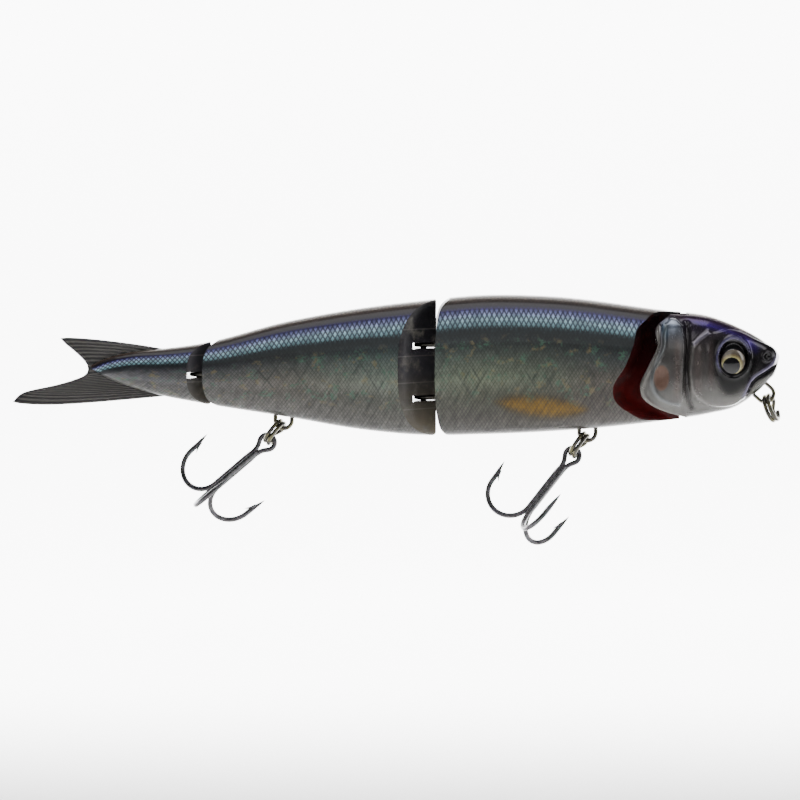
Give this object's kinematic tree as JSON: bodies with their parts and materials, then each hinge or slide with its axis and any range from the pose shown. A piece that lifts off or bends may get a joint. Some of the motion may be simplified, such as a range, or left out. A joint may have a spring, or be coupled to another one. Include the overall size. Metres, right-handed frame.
{
  "type": "jointed swimbait",
  "caption": "Jointed hard fishing lure shaped like a small fish, with a hinged hollow body, forked tail fin, split rings and treble hooks.",
  "frame": {"origin": "centre of the line tie, the wire loop under the nose", "axes": "+X from the tail towards the nose, +Z towards the back of the fish, +Y to its left flank"},
  "size_m": [0.2011, 0.0273, 0.0666],
  "materials": {
    "painted_shell": "clear-coated fish paint over moulded plastic",
    "steel": "bright drawn stainless wire",
    "ring_steel": "dark plated spring wire",
    "black_nickel": "black nickel plated hook steel",
    "weight": "plain steel ballast",
    "eye": "domed clear resin over foil",
    "fin": "smoky flexible moulded fin"
  },
  "bodies": {
    "head": {"head_shell_left": "painted_shell", "head_shell_right": "painted_shell", "eye_left": "eye", "eye_right": "eye", "line_tie": "steel", "head_ballast_ball": "weight", "head_hinge_eye_lower": "steel", "head_hinge_eye_upper": "steel"},
    "front_body": {"front_shell_left": "painted_shell", "front_shell_right": "painted_shell", "head_hinge_pin": "steel", "mid_hinge_eye_lower": "steel", "mid_hinge_eye_upper": "steel", "front_hook_hanger": "steel", "front_ballast_slug": "weight"},
    "rear_body": {"rear_shell_left": "painted_shell", "rear_shell_right": "painted_shell", "mid_hinge_pin": "steel", "tail_hinge_eye_middle": "steel", "rear_hook_hanger": "steel", "rear_ballast_slug": "weight"},
    "tail": {"tail_shell_left": "painted_shell", "tail_shell_right": "painted_shell", "tail_hinge_pin": "steel", "tail_fin": "fin", "fin_pin": "steel"},
    "nose_ring": {"nose_split_ring": "ring_steel"},
    "front_ring": {"front_split_ring": "ring_steel"},
    "front_hook": {"front_treble_hook": "black_nickel"},
    "rear_ring": {"rear_split_ring": "ring_steel"},
    "rear_hook": {"rear_treble_hook": "black_nickel"}
  },
  "joints": [
    {"name": "head_joint", "type": "hinge", "parent": "head", "child": "front_body", "pos_m": [-0.0264, 0, 0.0075], "axis": [0, 0, 1], "range_deg": [-24, 24]},
    {"name": "mid_joint", "type": "hinge", "parent": "front_body", "child": "rear_body", "pos_m": [-0.0893, 0, 0.00605], "axis": [0, 0, 1], "range_deg": [-45, 45]},
    {"name": "tail_joint", "type": "hinge", "parent": "rear_body", "child": "tail", "pos_m": [-0.1478, 0, 0.0052], "axis": [0, 0, 1], "range_deg": [-36, 36]},
    {"name": "nose_ring_swing", "type": "hinge", "parent": "head", "child": "nose_ring", "pos_m": [0, 0, 0], "axis": [0, 1, 0], "range_deg": [-100, 65]},
    {"name": "front_ring_swing", "type": "hinge", "parent": "front_body", "child": "front_ring", "pos_m": [-0.0464, 0, -0.01012], "axis": [0, 1, 0], "range_deg": [-100, 18]},
    {"name": "front_hook_swing", "type": "hinge", "parent": "front_ring", "child": "front_hook", "pos_m": [-0.04865, 0, -0.01359], "axis": [0.8062, -0.2756, -0.5235], "range_deg": [-60, 60]},
    {"name": "rear_ring_swing", "type": "hinge", "parent": "rear_body", "child": "rear_ring", "pos_m": [-0.1258, 0, -0.00692], "axis": [0, 1, 0], "range_deg": [-95, 35]},
    {"name": "rear_hook_swing", "type": "hinge", "parent": "rear_ring", "child": "rear_hook", "pos_m": [-0.12829, 0, -0.01021], "axis": [0.7812, -0.2079, -0.5887], "range_deg": [-60, 60]}
  ]
}
